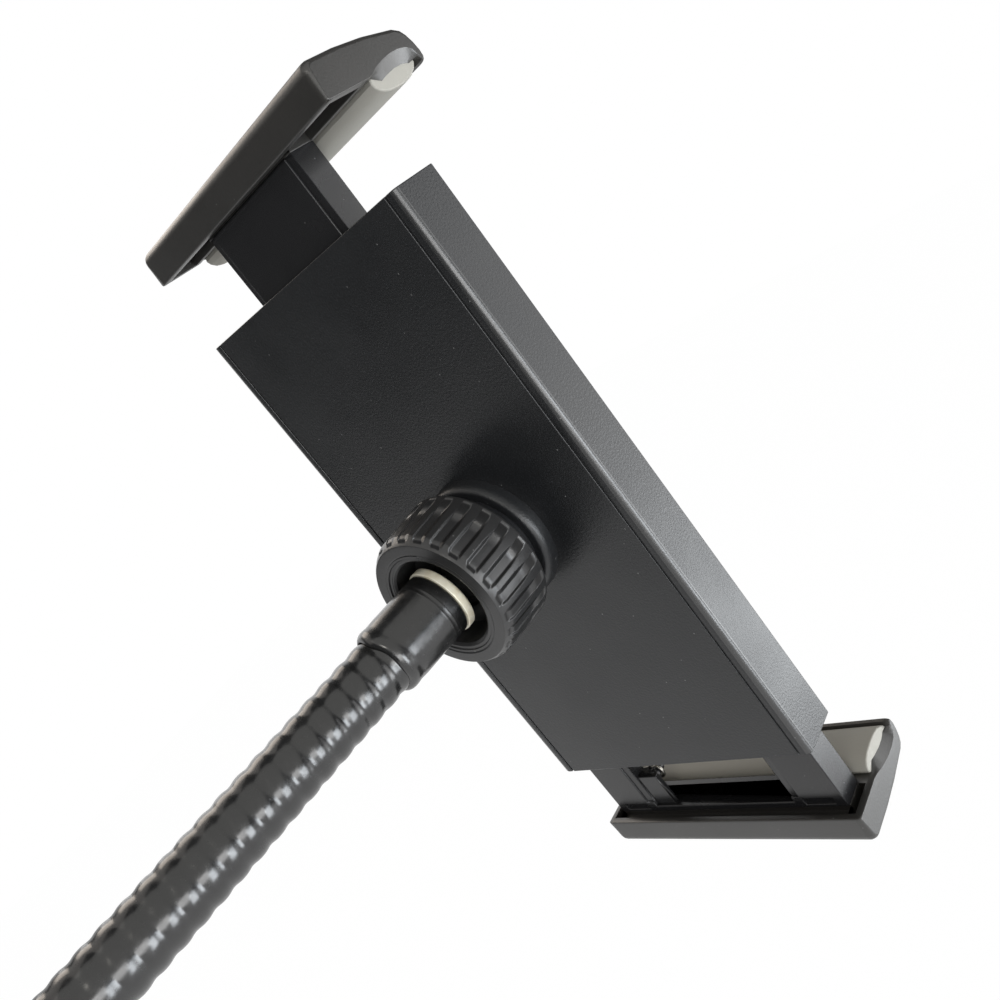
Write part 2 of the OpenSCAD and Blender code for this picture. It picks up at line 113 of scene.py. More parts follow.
world = bpy.data.worlds.new("studio")
bpy.context.scene.world = world
world.use_nodes = True
tree = world.node_tree
room = tree.nodes["Background"]
room.inputs["Strength"].default_value = 0.07
room.inputs["Color"].default_value = (0.93, 0.96, 1.0, 1)
mixed = white_where_seen(tree, room.outputs[0], "World", 1, 0.06)
tree.links.new(mixed, tree.nodes["World Output"].inputs["Surface"])


def softbox(name, aside, distance, width, height, glow, tint):
    """An area light in the direction `aside` from the housing, as bright as `glow` times white."""
    middle = Vector((0.03, 0.26, 0.0))
    away = Vector(aside).normalized()
    light = bpy.data.objects.new(name, bpy.data.lights.new(name, "AREA"))
    light.data.shape = "RECTANGLE"
    light.data.size = width
    light.data.size_y = height
    light.data.energy = glow * pi * width * height
    light.data.color = tint
    light.matrix_world = Matrix.Translation(middle + away * distance) @ (
        -away).to_track_quat("-Z", "Y").to_matrix().to_4x4()
    light.visible_camera = False
    bpy.context.scene.collection.objects.link(light)


# each with its direction, distance, width, height, brightness and tint
softbox("window_right", (0.62, 0.72, -0.1), 1.0, 0.95, 0.65, 2.0, (1.0, 1.0, 1.0))
softbox("window_low", (0.6, 0.6, -0.53), 0.9, 0.5, 0.35, 7.0, (0.93, 0.97, 1.0))
softbox("bounce_front", (-0.2, 0.64, -0.74), 1.0, 0.6, 0.4, 6.0, (0.97, 0.98, 1.0))
softbox("tent", (0.62, -0.28, 0.74), 1.1, 2.0, 2.3, 0.68, (1.0, 0.99, 0.95))
softbox("lamp_right", (0.94, -0.1, -0.3), 1.0, 0.4, 0.5, 8.5, (0.9, 0.95, 1.0))
softbox("wall_left", (-0.98, -0.1, 0.1), 1.2, 0.6, 0.6, 0.6, (1.0, 1.0, 1.0))
softbox("window_far", (-0.85, 0.5, 0.25), 1.3, 1.1, 1.0, 1.2, (1.0, 1.0, 1.0))
softbox("window_behind", (0.8, -0.6, -0.05), 1.2, 1.1, 0.42, 5.0, (1.0, 1.0, 1.0))
softbox("lamp_behind", (0.34, -0.7, 0.57), 1.0, 0.16, 0.16, 9.0, (1.0, 0.96, 0.88))
softbox("ceiling_left", (-0.55, -0.25, 0.8), 1.1, 1.3, 0.8, 0.6, (1.0, 0.95, 0.9))
softbox("lamp_warm", (-0.75, 0.18, 0.64), 1.0, 0.5, 0.42, 2.6, (1.0, 0.88, 0.76))

# Back housing: one moulded channel of black plastic with a fine spark-eroded grain, fine grooves
# along its back, guide ribs and screw posts inside, and the boss of the ball joint with its thread.
# Its edges are eased, as the mould's are.
millimetre = Matrix.Scale(0.001, 4)
head = Matrix.Translation((0.0304289, 0.2733396, 0.0033856)) @ millimetre


def moulded_surface():
    """Surface of moulded plastic: grain, soft clouds of tone, and sparse pale specks of dust."""
    group = bpy.data.node_groups.new("moulded_surface", "ShaderNodeTree")
    for name, kind, value in (("Colour", "NodeSocketColor", (0.02, 0.02, 0.02, 1)),
                              ("Cloud colour", "NodeSocketColor", (0.03, 0.03, 0.03, 1)),
                              ("Speck colour", "NodeSocketColor", (0.3, 0.3, 0.3, 1)),
                              ("Grain per metre", "NodeSocketFloat", 3000.0),
                              ("Grain depth", "NodeSocketFloat", 0.00002),
                              ("Specks", "NodeSocketFloat", 0.5),
                              ("Roughness", "NodeSocketFloat", 0.5)):
        socket = group.interface.new_socket(name=name, in_out="INPUT", socket_type=kind)
        socket.default_value = value
    for name, kind in (("Colour", "NodeSocketColor"), ("Roughness", "NodeSocketFloat"),
                       ("Normal", "NodeSocketVector")):
        group.interface.new_socket(name=name, in_out="OUTPUT", socket_type=kind)
    new = group.nodes.new
    link = group.links.new
    source = new("NodeGroupInput")
    result = new("NodeGroupOutput")
    place = new("ShaderNodeTexCoord")
    grain = new("ShaderNodeTexNoise")
    grain.inputs["Detail"].default_value = 2
    link(place.outputs["Object"], grain.inputs["Vector"])
    link(source.outputs["Grain per metre"], grain.inputs["Scale"])
    cloud = new("ShaderNodeTexNoise")
    cloud.inputs["Scale"].default_value = 45
    cloud.inputs["Detail"].default_value = 4
    link(place.outputs["Object"], cloud.inputs["Vector"])
    tone = new("ShaderNodeMix")
    tone.data_type = "RGBA"
    link(cloud.outputs["Fac"], tone.inputs["Factor"])
    link(source.outputs["Colour"], tone.inputs["A"])
    link(source.outputs["Cloud colour"], tone.inputs["B"])
    dust = new("ShaderNodeTexVoronoi")
    dust.inputs["Scale"].default_value = 400
    link(place.outputs["Object"], dust.inputs["Vector"])
    near = new("ShaderNodeMapRange")
    near.inputs["From Min"].default_value = 0.075
    near.inputs["From Max"].default_value = 0.03
    link(dust.outputs["Distance"], near.inputs["Value"])
    # only the cells whose random value is high carry a speck
    rare = new("ShaderNodeMath")
    rare.operation = "GREATER_THAN"
    rare.inputs[1].default_value = 0.62
    split = new("ShaderNodeSeparateColor")
    link(dust.outputs["Color"], split.inputs[0])
    link(split.outputs[0], rare.inputs[0])
    speck = new("ShaderNodeMath")
    speck.operation = "MULTIPLY"
    link(near.outputs[0], speck.inputs[0])
    link(rare.outputs[0], speck.inputs[1])
    amount = new("ShaderNodeMath")
    amount.operation = "MULTIPLY"
    link(speck.outputs[0], amount.inputs[0])
    link(source.outputs["Specks"], amount.inputs[1])
    dusted = new("ShaderNodeMix")
    dusted.data_type = "RGBA"
    link(amount.outputs[0], dusted.inputs["Factor"])
    link(tone.outputs["Result"], dusted.inputs["A"])
    link(source.outputs["Speck colour"], dusted.inputs["B"])
    link(dusted.outputs["Result"], result.inputs["Colour"])
    # the clouds are also a little rougher or smoother than the rest
    rub = new("ShaderNodeMapRange")
    rub.inputs["From Min"].default_value = 0.3
    rub.inputs["From Max"].default_value = 0.7
    rub.inputs["To Min"].default_value = -0.05
    rub.inputs["To Max"].default_value = 0.06
    link(cloud.outputs["Fac"], rub.inputs["Value"])
    rough = new("ShaderNodeMath")
    rough.operation = "ADD"
    link(rub.outputs[0], rough.inputs[0])
    link(source.outputs["Roughness"], rough.inputs[1])
    link(rough.outputs[0], result.inputs["Roughness"])
    bump = new("ShaderNodeBump")
    link(grain.outputs["Fac"], bump.inputs["Height"])
    link(source.outputs["Grain depth"], bump.inputs["Distance"])
    link(bump.outputs[0], result.inputs["Normal"])
    return group


moulded = moulded_surface()


def moulded_plastic(name, colour, cloud, roughness, grain, depth, specks=0.5, gloss=0.5):
    """Plastic clouded between two colours, with a grain of this fineness per metre and depth."""
    material = bpy.data.materials.new(name)
    material.use_nodes = True
    shader = material.node_tree.nodes["Principled BSDF"]
    shader.inputs["Specular IOR Level"].default_value = gloss
    skin = material.node_tree.nodes.new("ShaderNodeGroup")
    skin.node_tree = moulded
    skin.inputs["Colour"].default_value = (*colour, 1)
    skin.inputs["Cloud colour"].default_value = (*cloud, 1)
    skin.inputs["Roughness"].default_value = roughness
    skin.inputs["Grain per metre"].default_value = grain
    skin.inputs["Grain depth"].default_value = depth
    skin.inputs["Specks"].default_value = specks
    link = material.node_tree.links.new
    link(skin.outputs["Colour"], shader.inputs["Base Color"])
    link(skin.outputs["Roughness"], shader.inputs["Roughness"])
    link(skin.outputs["Normal"], shader.inputs["Normal"])
    return material


def finish_piece(bm, name, material, place, body, nodes, crease=35):
    """Put a finished mesh in its place, give it its material and let it ride on its body.

    A mesh with a `place` is drawn in millimetres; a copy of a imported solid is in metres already.
    """
    bmesh.ops.remove_doubles(bm, verts=bm.verts, dist=0.0005 if place else 1e-7)
    bmesh.ops.recalc_face_normals(bm, faces=bm.faces)
    if place:
        bmesh.ops.transform(bm, matrix=place, verts=bm.verts)
        if place.determinant() < 0:
            bmesh.ops.reverse_faces(bm, faces=bm.faces)
    mesh = bpy.data.meshes.new(name)
    bm.to_mesh(mesh)
    bm.free()
    mesh.shade_smooth()
    mesh.set_sharp_from_angle(angle=radians(crease))
    mesh.materials.append(material)
    piece = bpy.data.objects.new(name, mesh)
    bpy.context.scene.collection.objects.link(piece)
    if body:
        # the flat faces stay flat up to their eased edges
        even = piece.modifiers.new("flat_faces", "WEIGHTED_NORMAL")
        even.keep_sharp = True
        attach(piece, body)
    if nodes:
        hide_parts(*nodes)
    return piece


def eased_copy(node, edge):
    """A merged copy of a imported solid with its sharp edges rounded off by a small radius."""
    bm = bmesh.new()
    bm.from_mesh(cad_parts[node].data)
    bmesh.ops.remove_doubles(bm, verts=bm.verts, dist=2e-5)
    # flat faces come back whole, so that the bevel runs along true edges
    bmesh.ops.dissolve_limit(bm, angle_limit=radians(0.5), verts=bm.verts, edges=bm.edges)
    sharp = [e for e in bm.edges if e.is_convex and e.calc_face_angle(0) > radians(40)]
    bmesh.ops.bevel(bm, geom=sharp, offset=edge, segments=2, profile=0.5, affect="EDGES",
                    clamp_overlap=False, material=-1)
    return bm


housing_black = moulded_plastic("housing_black", (0.008, 0.0086, 0.0095), (0.012, 0.0128, 0.0142),
                                roughness=0.33, grain=2300, depth=0.00005)
housing = finish_piece(eased_copy("back_housing", 0.00018), "housing", housing_black, None, "head",
                       ["back_housing"])
# painted highlight: the rounded long edges, which stand this far from the middle, get a lighter and
# glossier black that stands in for their highlight
edge_highlight_from = 0.033
edge_highlight_black = moulded_plastic("edge_highlight_black", (0.012, 0.0125, 0.013), (0.02, 0.02, 0.02),
                               roughness=0.32, grain=2300, depth=0.00002, gloss=1.0)
housing.data.materials.append(edge_highlight_black)
# the faces of the rounded long edges take the painted highlight
for face in housing.data.polygons:
    leaning = 0.15 < abs(face.normal.x) < 0.99 and face.normal.y < -0.15
    if leaning and abs(face.normal.z) < 0.1 \
            and abs(face.center.x - head.translation.x) > edge_highlight_from:
        face.material_index = 1

# Front cover: a flat black plate screwed to the housing's posts with five small plated screws, and
# a thin soft pad glued on it, where the device lies.
cover_black = moulded_plastic("cover_black", (0.011, 0.011, 0.012), (0.016, 0.016, 0.017),
                              roughness=0.4, grain=2600, depth=0.00002, specks=0.3)
finish_piece(eased_copy("front_cover", 0.00015), "cover", cover_black, None, "head",
             ["front_cover"])
soft_black = moulded_plastic("soft_black", (0.018, 0.018, 0.018), (0.03, 0.03, 0.029),
                             roughness=0.75, grain=1500, depth=0.00006, specks=0.8, gloss=0.35)
finish_piece(eased_copy("front_pad", 0.0003), "rest_pad", soft_black, None, "head",
             ["front_pad"])


def plated_steel(name, colour, tarnish, roughness, scratch, metallic=1.0):
    """Plated steel with a fine drawn grain and clouds of tarnish."""
    material = bpy.data.materials.new(name)
    material.use_nodes = True
    new = material.node_tree.nodes.new
    link = material.node_tree.links.new
    shader = material.node_tree.nodes["Principled BSDF"]
    shader.inputs["Metallic"].default_value = metallic
    place = new("ShaderNodeTexCoord")
    cloud = new("ShaderNodeTexNoise")
    cloud.inputs["Scale"].default_value = 420
    cloud.inputs["Detail"].default_value = 5
    link(place.outputs["Object"], cloud.inputs["Vector"])
    tone = new("ShaderNodeMix")
    tone.data_type = "RGBA"
    tone.inputs["A"].default_value = (*colour, 1)
    tone.inputs["B"].default_value = (*tarnish, 1)
    spread = new("ShaderNodeMapRange")
    spread.inputs["From Min"].default_value = 0.4
    spread.inputs["From Max"].default_value = 0.75
    link(cloud.outputs["Fac"], spread.inputs["Value"])
    link(spread.outputs[0], tone.inputs["Factor"])
    link(tone.outputs["Result"], shader.inputs["Base Color"])
    lines = new("ShaderNodeTexNoise")
    lines.inputs["Scale"].default_value = scratch
    lines.inputs["Detail"].default_value = 3
    link(place.outputs["Object"], lines.inputs["Vector"])
    rough = new("ShaderNodeMapRange")
    rough.inputs["To Min"].default_value = roughness - 0.1
    rough.inputs["To Max"].default_value = roughness + 0.12
    link(lines.outputs["Fac"], rough.inputs["Value"])
    link(rough.outputs[0], shader.inputs["Roughness"])
    bump = new("ShaderNodeBump")
    bump.inputs["Distance"].default_value = 0.00003
    bump.inputs["Strength"].default_value = 0.6
    link(lines.outputs["Fac"], bump.inputs["Height"])
    link(bump.outputs[0], shader.inputs["Normal"])
    return material


screw_steel = plated_steel("screw_steel", (0.5, 0.5, 0.5), (0.3, 0.3, 0.31), roughness=0.35,
                           scratch=5000)
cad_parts["cover_screws"].data.materials[0] = screw_steel

# Sliders: two black channels that run one behind the other's end in the housing. The upper one is
# narrow; the lower one is a fork of two rails round an open window. Both snap into their claws.
slider_black = moulded_plastic("slider_black", (0.009, 0.009, 0.0098), (0.014, 0.014, 0.015),
                               roughness=0.24, grain=2400, depth=0.00001, specks=0.3)
finish_piece(eased_copy("upper_slider", 0.00025), "upper_rail", slider_black, None, "upper_jaw",
             ["upper_slider"])
finish_piece(eased_copy("lower_slider", 0.00025), "lower_rails", slider_black, None, "lower_jaw",
             ["lower_slider"])

# Claws: hollow hooks of soft-touch black plastic that grip the device's ends. Each is a bar as wide
# as the housing with a rounded back edge, an open hollow round its slider and a lip that curls over
# the pad.
claw_width, end_wall = 70.3, 1.6
back_wall, slider_back, slider_front = 1.6, 3.8, 9.44
hollow_depth, tongue_gap = 5.2, 1.5
rim_width, rim_edge = 1.3, 0.2
rim = -1.9
# the claw's outline as depth, height and rounding towards the ends, or `rim` where a bevelled rim
# closes the end round the pad
claw_outline = ((0, 0.5, 0.5), (0.15, 0.15, 0.4), (0.5, 0, 0.3), (back_wall, 0, 0.3),
                (slider_back, 0, 0.3), (slider_front, 0, 0.3),
                (10.8, 0, 0.3), (12.4, 0.35, 0.2), (14.2, 1.0, rim), (16.4, 1.5, rim),
                (19, 1.9, rim), (21.4, 1.95, rim), (23.4, 1.6, rim), (24.6, 0.9, rim),
                (25.0, -0.2, 0.2), (25.4, -1.2, 0.3), (26.0, -1.5, 0.45), (26.6, -0.9, 0.6),
                (26.9, 0.4, 0.8), (26.7, 2.2, 1.0), (26.1, 3.9, 1.1), (25.2, 5.1, 1.1),
                (23.7, 5.8, 1.1), (16, 6.85, 1.1), (9, 7.3, 1.1), (2.2, 7.3, 1.1),
                (1.36, 7.13, 1.1), (0.64, 6.66, 1.1), (0.17, 5.94, 1.1), (0, 5.1, 1.1))


def rounded_bar(outline, width, rounding, inner):
    """A bar across the clamp whose ends are rounded; `inner` adds sections between its ends."""
    points = [Vector(p[:2]) for p in outline]
    outward = []
    for i, p in enumerate(points):
        before = (p - points[i - 1]).normalized()
        after = (points[(i + 1) % len(points)] - p).normalized()
        across = (before + after).normalized()
        outward.append(Vector((across.y, -across.x)) / max(across.dot(before), 0.75))
    half = [width / 2 - rounding * (1 - sin(radians(a))) for a in (0, 20, 40, 60, 77, 90)]
    if any(q[2] < 0 for q in outline):
        half[1:1] = [width / 2 - rim_width - 0.01, width / 2 - rim_width + 0.01]

    def inset(x, amount):
        """How far the outline stands back at x: a quarter round, or a bevel with an eased edge."""
        left = width / 2 - abs(x)
        if amount >= 0:
            return amount * (1 - (1 - max(1 - left / rounding, 0) ** 2) ** 0.5)
        if left > rim_width:
            return 0
        if left > rim_edge:
            return amount * (left - rim_edge) / (rim_width - rim_edge)
        return 0.3 - 1.5 * left

    bm = bmesh.new()
    rings = [[bm.verts.new((x, *(p - n * inset(x, q[2]))))
              for p, n, q in zip(points, outward, outline)]
             for x in (*(-x for x in reversed(half)), *inner, *half)]
    for near, far in zip(rings, rings[1:]):
        for i in range(len(points)):
            bm.faces.new((near[i - 1], near[i], far[i], far[i - 1]))
    bm.faces.new(rings[0])
    bm.faces.new(reversed(rings[-1]))
    bmesh.ops.recalc_face_normals(bm, faces=bm.faces)
    return bm


def soften(bm, edges, offset, segments):
    bmesh.ops.bevel(bm, geom=edges, offset=offset, segments=segments, profile=0.5,
                    affect="EDGES", clamp_overlap=True, material=-1)


def claw_mesh(tongue):
    """A claw; the slider's tongue fills the middle of its hollow up to x = `tongue`."""
    bm = rounded_bar(claw_outline, claw_width, end_wall, (-tongue, tongue))
    end = claw_width / 2 - end_wall

    def hollow(x0, x1, y0, y1, depth):
        """Sink the part of the flat mouth that lies between these sides."""
        middles = [(f, f.calc_center_median()) for f in bm.faces if abs(f.normal.z) > 0.99]
        faces = [f for f, m in middles if abs(m.z) < 0.001 and x0 < m.x < x1 and y0 < m.y < y1]
        sunk = bmesh.ops.extrude_face_region(bm, geom=faces)
        moved = [v for v in sunk["geom"] if isinstance(v, bmesh.types.BMVert)]
        bmesh.ops.translate(bm, verts=moved, vec=(0, 0, depth))
        bmesh.ops.delete(bm, geom=faces, context="FACES_ONLY")

    for low, high in ((-end, -tongue), (tongue, end)):
        hollow(low, high, back_wall, slider_front, hollow_depth)
    hollow(-tongue, tongue, back_wall, slider_back, tongue_gap)
    bmesh.ops.recalc_face_normals(bm, faces=bm.faces)
    rims = [e for e in bm.edges if e.is_convex and e.calc_face_angle(0) > radians(60)
            and all(abs(v.co.z) < 0.001 for v in e.verts)]
    soften(bm, rims, 0.2, 2)
    return bm


claw_black = moulded_plastic("claw_black", (0.015, 0.0142, 0.0128), (0.022, 0.0205, 0.0185),
                             roughness=0.37, grain=2000, depth=0.00002, specks=0.3, gloss=0.85)
upper_claw_z, lower_claw_z = 81.2, -83.4
upper_tongue, lower_tongue = 17.15, 31.85
upper_claw_place = head @ Matrix.Translation((0, 0, upper_claw_z))
lower_claw_place = head @ Matrix.Translation((0, 0, lower_claw_z)) @ Matrix.Diagonal((1, 1, -1, 1))
finish_piece(claw_mesh(upper_tongue), "upper_hook", claw_black, upper_claw_place, "upper_jaw",
             ["upper_claw"])
finish_piece(claw_mesh(lower_tongue), "lower_hook", claw_black, lower_claw_place, "lower_jaw",
             ["lower_claw"])

# Grip pads: thick strips of grey rubber with a domed face, pressed into the hollows of the claws.
pad_width, pad_rounding = 67.7, 0.4
pad_outline = [(y, z, 0.35) for y, z in (
    (12.4, 0.35), (12.1, -0.5), (12.5, -1.4), (13.6, -2.3), (15.4, -2.78), (17.8, -2.9),
    (20.4, -2.75), (22.4, -2.3), (23.9, -1.5), (24.8, -0.7), (25.0, -0.2), (24.6, 0.9),
    (23.4, 1.6), (21.4, 1.95), (19, 1.9), (16.4, 1.5), (14.2, 1.0))]
grip_rubber = moulded_plastic("grip_rubber", (0.28, 0.272, 0.243), (0.35, 0.34, 0.308),
                              roughness=0.62, grain=2600, depth=0.000025, specks=0.0, gloss=0.4)
finish_piece(rounded_bar(pad_outline, pad_width, pad_rounding, ()), "upper_grip", grip_rubber,
             upper_claw_place, "upper_jaw", ["upper_pad"])
finish_piece(rounded_bar(pad_outline, pad_width, pad_rounding, ()), "lower_grip", grip_rubber,
             lower_claw_place, "lower_jaw", ["lower_pad"])

# Tension springs: close-wound coils of drawn steel wire, each hooked with an eye on a peg of the
# cover and on a peg of its slider.
wire_r, coil_r, eye_r = 0.4, 1.9, 1.75
eye_stem, hook_r, coil_y = 1.2, 1.0, 7.75
coil_pitch = 2.6 * wire_r
spring_steel = plated_steel("spring_steel", (0.42, 0.4, 0.36), (0.22, 0.2, 0.17), roughness=0.3,
                            scratch=3000)


def wire_ring(bm, centre, across):
    """A few points round the wire, as the start of a sweep."""
    made = bmesh.ops.create_circle(bm, segments=8, radius=wire_r)["verts"]
    bmesh.ops.transform(bm, matrix=Matrix.Translation(centre) @ across, verts=made)
    return made + [e for e in bm.edges if e.verts[0] in made and e.verts[1] in made]


def spring_mesh(x, low, high):
    """A spring at `x` between the pegs at the heights `low` and `high`."""
    bm = bmesh.new()
    bottom, top = low + eye_r + eye_stem, high - eye_r - eye_stem
    turns = round((top - bottom) / coil_pitch)
    lift = (top - bottom) / turns
    steps = 14
    upright = Matrix.Rotation(radians(90), 4, "X")
    start = wire_ring(bm, (coil_r, 0, bottom), upright)
    bmesh.ops.spin(bm, geom=start, cent=(0, 0, 0), axis=(0, 0, 1), angle=2 * pi * turns,
                   steps=steps * turns, dvec=(0, 0, lift / steps))
    for centre, side in ((low, 1), (high, -1)):
        # the eye, most of a ring round the peg
        ring = wire_ring(bm, (0, 0, centre + side * eye_r), Matrix.Rotation(radians(90), 4, "Y"))
        bmesh.ops.spin(bm, geom=ring, cent=(0, 0, centre), axis=(0, 1, 0), angle=radians(325),
                       steps=26)
        # the bend from the eye to the coil
        ring = wire_ring(bm, (0, 0, centre + side * eye_r), Matrix.Rotation(radians(90), 4, "Y"))
        bmesh.ops.spin(bm, geom=ring, cent=(0, 0, centre + side * (eye_r + hook_r)),
                       axis=(0, 1, 0), angle=radians(-90 * side), steps=4)
        ring = wire_ring(bm, (coil_r, 0, bottom if side > 0 else top), upright)
        bmesh.ops.spin(bm, geom=ring, cent=(coil_r / 2, 0, 0), axis=(0, 0, 1), angle=-pi * side,
                       steps=8, dvec=(0, 0, -side * 0.07))
    bmesh.ops.translate(bm, verts=bm.verts, vec=(x, coil_y, 0))
    return bm


upper_coil = finish_piece(spring_mesh(9, 31, 73.7), "upper_coil", spring_steel, head, None,
                          ["upper_spring"], crease=60)
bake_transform(upper_coil)
lower_coil = finish_piece(spring_mesh(-16.2, -74.5, -33), "lower_coil", spring_steel, head, None,
                          ["lower_spring"], crease=60)
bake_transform(lower_coil)

# Ball joint inside the boss: a turning plastic seat, a flat pressure ring and the zinc-plated ball
# stud, whose collar shows in the mouth of the nut.
ball_place = Matrix.Translation((0.0304289, 0.2637396, 0.0045856)) @ millimetre
neck = ball_place @ Matrix.Rotation(radians(171.43), 4, "Y") @ Matrix.Rotation(radians(-90), 4, "X")
joint_black = moulded_plastic("joint_black", (0.012, 0.012, 0.012), (0.018, 0.018, 0.018),
                              roughness=0.35, grain=2500, depth=0.00002, specks=0.2)
finish_piece(eased_copy("ball_seat", 0.0001), "seat", joint_black, None, "seat",
             ["ball_seat"])
finish_piece(eased_copy("pressure_ring", 0.00012), "washer", joint_black, None, "ring",
             ["pressure_ring"])
yellow_zinc = plated_steel("yellow_zinc", (0.9, 0.86, 0.72), (0.72, 0.64, 0.44), roughness=0.36,
                           scratch=2600, metallic=0.2)
ball_pin = finish_piece(eased_copy("ball_stud", 0.00012), "ball_pin", yellow_zinc, None, "ball",
                        ["ball_stud"])
# painted shade: the ball and its neck, down to the collar, are painted a dark steel where they lie
# in the shade inside the seat and the nut
painted_shade_down_to = -7.8
painted_shade_steel = plated_steel("painted_shade_steel", (0.05, 0.05, 0.048), (0.02, 0.02, 0.02),
                             roughness=0.4, scratch=2600, metallic=0.6)
ball_pin.data.materials.append(painted_shade_steel)
for face in ball_pin.data.polygons:
    if (neck.inverted() @ face.center).z > painted_shade_down_to:
        face.material_index = 1

# Lock nut: a satin black plastic nut that clamps the ball. Its grip has slots that are closed at
# the back and run out in the front chamfer; low raised arcs stand round a part of the mouth.
boss_up = 1.2
nut_frame = head @ Matrix.Translation((0, 0, boss_up)) @ Matrix.Rotation(radians(90), 4, "X")
slot_count, slot_steps, pitch_steps = 24, 5, 9
slot_low, slot_high, slot_floor_r, slot_draft = 9.2, 20.2, 15.5, 0.045
arc_first, arc_last, arc_rise = 40, 100, 0.14


def turned(profile, steps, closed=False):
    """A lathe piece: the profile, as radius and height, spun round the Z axis."""
    bm = bmesh.new()
    points = [bm.verts.new((r, 0, z)) for r, z in profile]
    ahead = points[1:] + ([points[0]] if closed else [])
    edges = [bm.edges.new(pair) for pair in zip(points, ahead)]
    bmesh.ops.spin(bm, geom=points + edges, cent=(0, 0, 0), axis=(0, 0, 1), angle=2 * pi,
                   steps=steps, use_merge=True)
    bmesh.ops.remove_doubles(bm, verts=bm.verts, dist=0.0005)
    bmesh.ops.recalc_face_normals(bm, faces=bm.faces)
    return bm


def nut_mesh():
    bm = turned(((12.15, 7.3), (15.75, 7.3), (16.0, 7.42), (16.1, 7.7), (16.05, 9.2), (15.85, 14),
                 (15.63, 18.9), (15.35, 19.6), (15.0, 20.2), (14.75, 20.65), (14.5, 20.95),
                 (14.2, 21.0), (12.3, 21.0), (12.0, 20.85), (11.55, 20.85), (11.4, 20.6),
                 (10.8, 20.6), (10.6, 20.52), (10.2, 20.15), (10.1, 19.7), (9.65, 14.7),
                 (12.15, 14.7)), steps=slot_count * pitch_steps, closed=True)
    step = 2 * pi / (slot_count * pitch_steps)

    def sector(f):
        """Which of the nut's steps round its axis a face lies in."""
        c = f.calc_center_median()
        return int((np.arctan2(c.y, c.x) % (2 * pi)) / step)

    grip = {}
    for f in bm.faces:
        c = f.calc_center_median()
        outside = c.xy.length > 15.0 and slot_low < c.z < slot_high
        if outside and sector(f) % pitch_steps < slot_steps:
            grip.setdefault(sector(f) // pitch_steps, []).append(f)
    for region in grip.values():
        sunk = bmesh.ops.extrude_face_region(bm, geom=region)
        for v in sunk["geom"]:
            if isinstance(v, bmesh.types.BMVert):
                floor_r = slot_floor_r - slot_draft * (v.co.z - slot_low)
                v.co.xy *= floor_r / v.co.xy.length
    arcs = [f for f in bm.faces if f.normal.z > 0.9 and arc_first < sector(f) < arc_last
            and (11.5 < f.calc_center_median().xy.length < 12.1
                 or 10.7 < f.calc_center_median().xy.length < 11.4)]
    raised = bmesh.ops.extrude_face_region(bm, geom=arcs)
    bmesh.ops.translate(bm, verts=[v for v in raised["geom"] if isinstance(v, bmesh.types.BMVert)],
                        vec=(0, 0, arc_rise))
    bmesh.ops.remove_doubles(bm, verts=bm.verts, dist=0.002)
    bmesh.ops.dissolve_degenerate(bm, edges=bm.edges, dist=0.002)
    bmesh.ops.recalc_face_normals(bm, faces=bm.faces)
    rims = [e for e in bm.edges if len(e.link_faces) == 2 and e.calc_face_angle(0) > radians(50)
            and min(v.co.xy.length for v in e.verts) > 14.9]
    soften(bm, rims, 0.12, 2)
    return bm


nut_black = moulded_plastic("nut_black", (0.015, 0.015, 0.0155), (0.021, 0.021, 0.0215),
                            roughness=0.34, grain=2000, depth=0.00002, gloss=0.7)
finish_piece(nut_mesh(), "grip_nut", nut_black, nut_frame, "nut", ["lock_nut"],
             crease=20)

# Ferrules: plated cups crimped on both ends of the hose; they are hidden under the sleeves.
for node in ("top_ferrule", "base_ferrule"):
    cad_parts[node].data.materials[0] = yellow_zinc

# Sleeves: glossy black heat-shrink tube over the ferrules. It has a faint ring where it was cut and
# a wavy shrunk end that steps down to the hose.
upper_tilt = Matrix.Rotation(radians(-11.06), 4, "Y")


def glossy_tube(name, roughness, ripple):
    """Glossy black shrink tube with a slow ripple and faint scuffs."""
    material = bpy.data.materials.new(name)
    material.use_nodes = True
    new = material.node_tree.nodes.new
    link = material.node_tree.links.new
    shader = material.node_tree.nodes["Principled BSDF"]
    shader.inputs["Specular IOR Level"].default_value = 0.9
    place = new("ShaderNodeTexCoord")
    wave = new("ShaderNodeTexNoise")
    wave.inputs["Scale"].default_value = 150
    wave.inputs["Detail"].default_value = 2
    link(place.outputs["Object"], wave.inputs["Vector"])
    scuff = new("ShaderNodeTexNoise")
    scuff.inputs["Scale"].default_value = 900
    scuff.inputs["Detail"].default_value = 6
    link(place.outputs["Object"], scuff.inputs["Vector"])
    tone = new("ShaderNodeMix")
    tone.data_type = "RGBA"
    tone.inputs["A"].default_value = (0.004, 0.004, 0.0042, 1)
    tone.inputs["B"].default_value = (0.009, 0.009, 0.009, 1)
    link(scuff.outputs["Fac"], tone.inputs["Factor"])
    link(tone.outputs["Result"], shader.inputs["Base Color"])
    rough = new("ShaderNodeMapRange")
    rough.inputs["From Min"].default_value = 0.3
    rough.inputs["From Max"].default_value = 0.8
    rough.inputs["To Min"].default_value = roughness
    rough.inputs["To Max"].default_value = roughness + 0.14
    link(scuff.outputs["Fac"], rough.inputs["Value"])
    link(rough.outputs[0], shader.inputs["Roughness"])
    bump = new("ShaderNodeBump")
    bump.inputs["Distance"].default_value = ripple
    link(wave.outputs["Fac"], bump.inputs["Height"])
    link(bump.outputs[0], shader.inputs["Normal"])
    return material


shrink_black = glossy_tube("shrink_black", roughness=0.17, ripple=0.00003)


